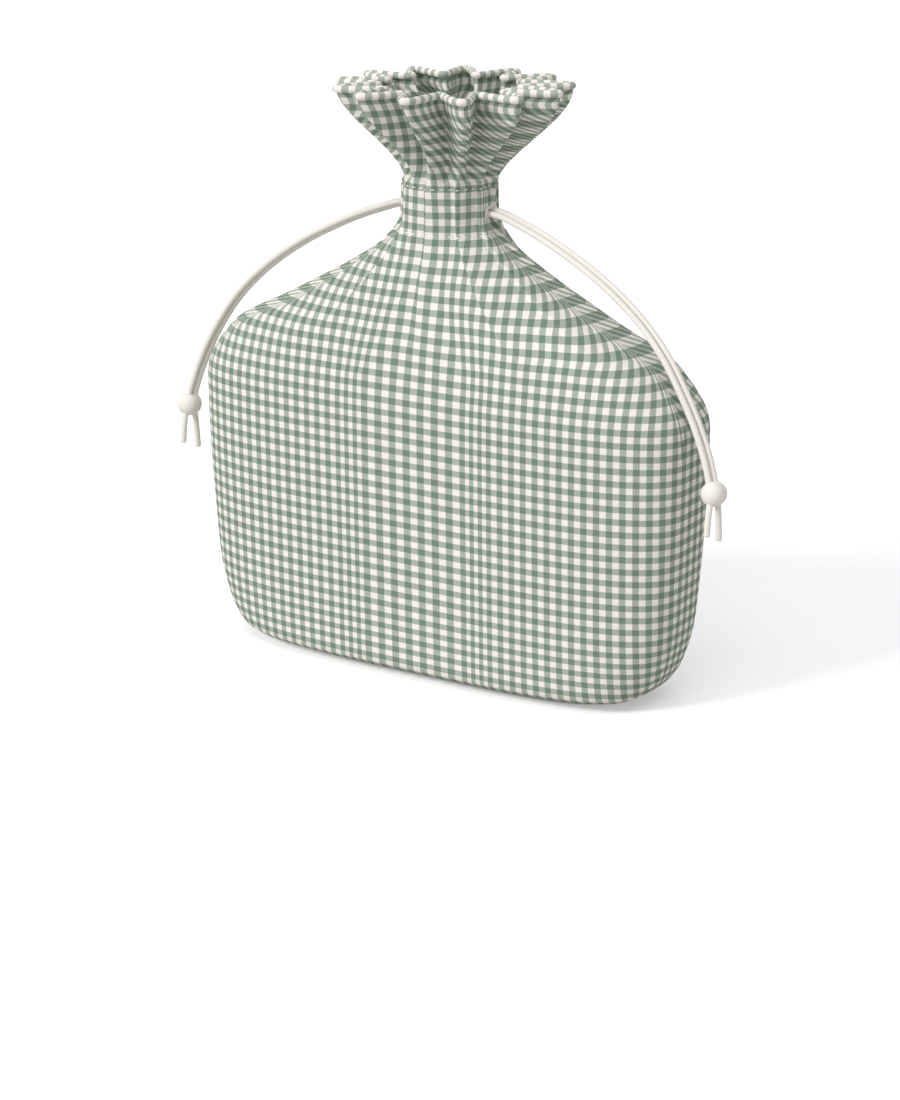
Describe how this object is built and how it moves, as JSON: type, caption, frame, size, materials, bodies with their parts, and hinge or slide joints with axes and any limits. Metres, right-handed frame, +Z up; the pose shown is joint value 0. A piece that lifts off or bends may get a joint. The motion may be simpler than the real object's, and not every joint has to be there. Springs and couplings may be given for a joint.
{
  "type": "drawstring pouch",
  "caption": "Gathered cotton drawstring pouch with a boxed bottom, fluted frill, sewn channel and a knotted cord pair at each side.",
  "frame": {"origin": "centre of the base, on the surface that the pouch stands on", "axes": "+Z up towards the frill, X along the width, -Y out of the broad front"},
  "size_m": [0.313, 0.1122, 0.2876],
  "materials": {
    "gingham": "woven cotton check, matt",
    "facing": "woven cotton, matt",
    "cord": "braided cotton, matt"
  },
  "bodies": {
    "root": {"pouch_cloth": "gingham", "channel_facing": "facing", "drawcord_left_loop": "cord", "drawcord_right_loop": "cord", "drawcord_left_front": "cord", "drawcord_left_back": "cord", "drawcord_right_front": "cord", "drawcord_right_back": "cord", "knot_left": "cord", "knot_right": "cord"}
  },
  "joints": []
}
